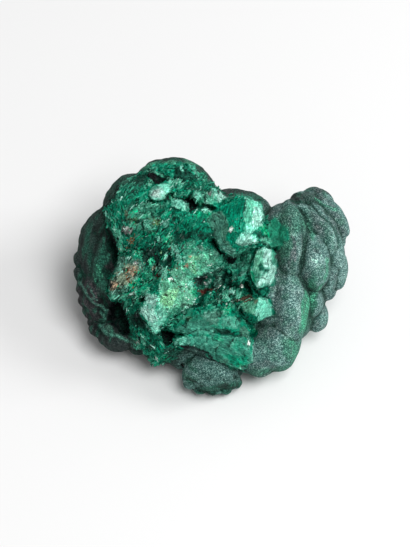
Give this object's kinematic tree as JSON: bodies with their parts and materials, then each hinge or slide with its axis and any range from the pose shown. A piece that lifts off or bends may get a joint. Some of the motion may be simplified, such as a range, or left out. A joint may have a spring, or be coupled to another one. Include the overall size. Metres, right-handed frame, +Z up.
{
  "type": "malachite specimen",
  "caption": "Natural malachite specimen: velvety grape-like lobes around a rough broken face of angular green blocks, resting on broken flats.",
  "frame": {"origin": "on the resting plane, under the middle of the stone's box", "axes": "+Z up from the resting flats, +X along the stone's long side, -Y towards the side that the broken face leans to"},
  "size_m": [0.0703, 0.0562, 0.0398],
  "materials": {
    "malachite": "velvety dark grey-green lobes; matt to glistening bright green, mint and dark green broken faces with rust specks"
  },
  "bodies": {
    "root": {"malachite": "malachite"}
  },
  "joints": []
}
